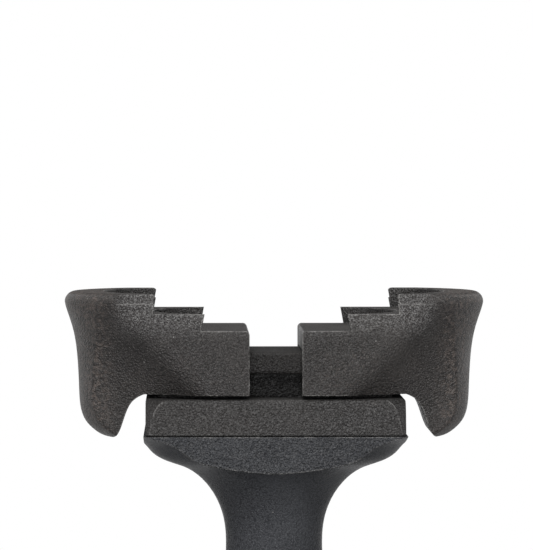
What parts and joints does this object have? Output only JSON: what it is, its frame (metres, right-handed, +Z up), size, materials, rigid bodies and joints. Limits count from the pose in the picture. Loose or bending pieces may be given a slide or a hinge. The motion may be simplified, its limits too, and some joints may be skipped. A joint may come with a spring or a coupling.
{
  "type": "miniature painting handle",
  "caption": "Hand-held painting handle: a waisted grip on a flat foot carries spring-closed sliding jaws with stepped round seats that clamp a model's base.",
  "frame": {"origin": "centre of the foot pad's underside", "axes": "+Z up along the grip, X along the jaw travel, front towards -Y"},
  "size_m": [0.0442, 0.0328, 0.0899],
  "materials": {
    "head_plastic": "fine spark-eroded grain, warm black",
    "grip_plastic": "fine satin grain, cool black",
    "pad_rubber": "plain matt",
    "steel": "bright drawn"
  },
  "bodies": {
    "handle": {"grip_front_half": "grip_plastic", "grip_rear_half": "grip_plastic", "foot_cap": "grip_plastic", "foot_screws": "steel", "foot_pad": "pad_rubber", "guide_base": "head_plastic", "slide_rail": "head_plastic", "rail_screws": "steel", "clamp_spring": "steel"},
    "left_jaw": {"left_jaw": "head_plastic", "left_spring_post": "steel"},
    "right_jaw": {"right_jaw": "head_plastic", "right_spring_post": "steel"}
  },
  "joints": [
    {"name": "left_slide", "type": "slide", "parent": "handle", "child": "left_jaw", "axis": [-1, 0, 0], "range_m": [0, 0.005], "stiffness_N_per_m": 400, "springref_m": -0.006, "deforming": ["clamp_spring"]},
    {"name": "right_slide", "type": "slide", "parent": "handle", "child": "right_jaw", "axis": [1, 0, 0], "range_m": [0, 0.005], "stiffness_N_per_m": 400, "springref_m": -0.006, "deforming": ["clamp_spring"]}
  ]
}
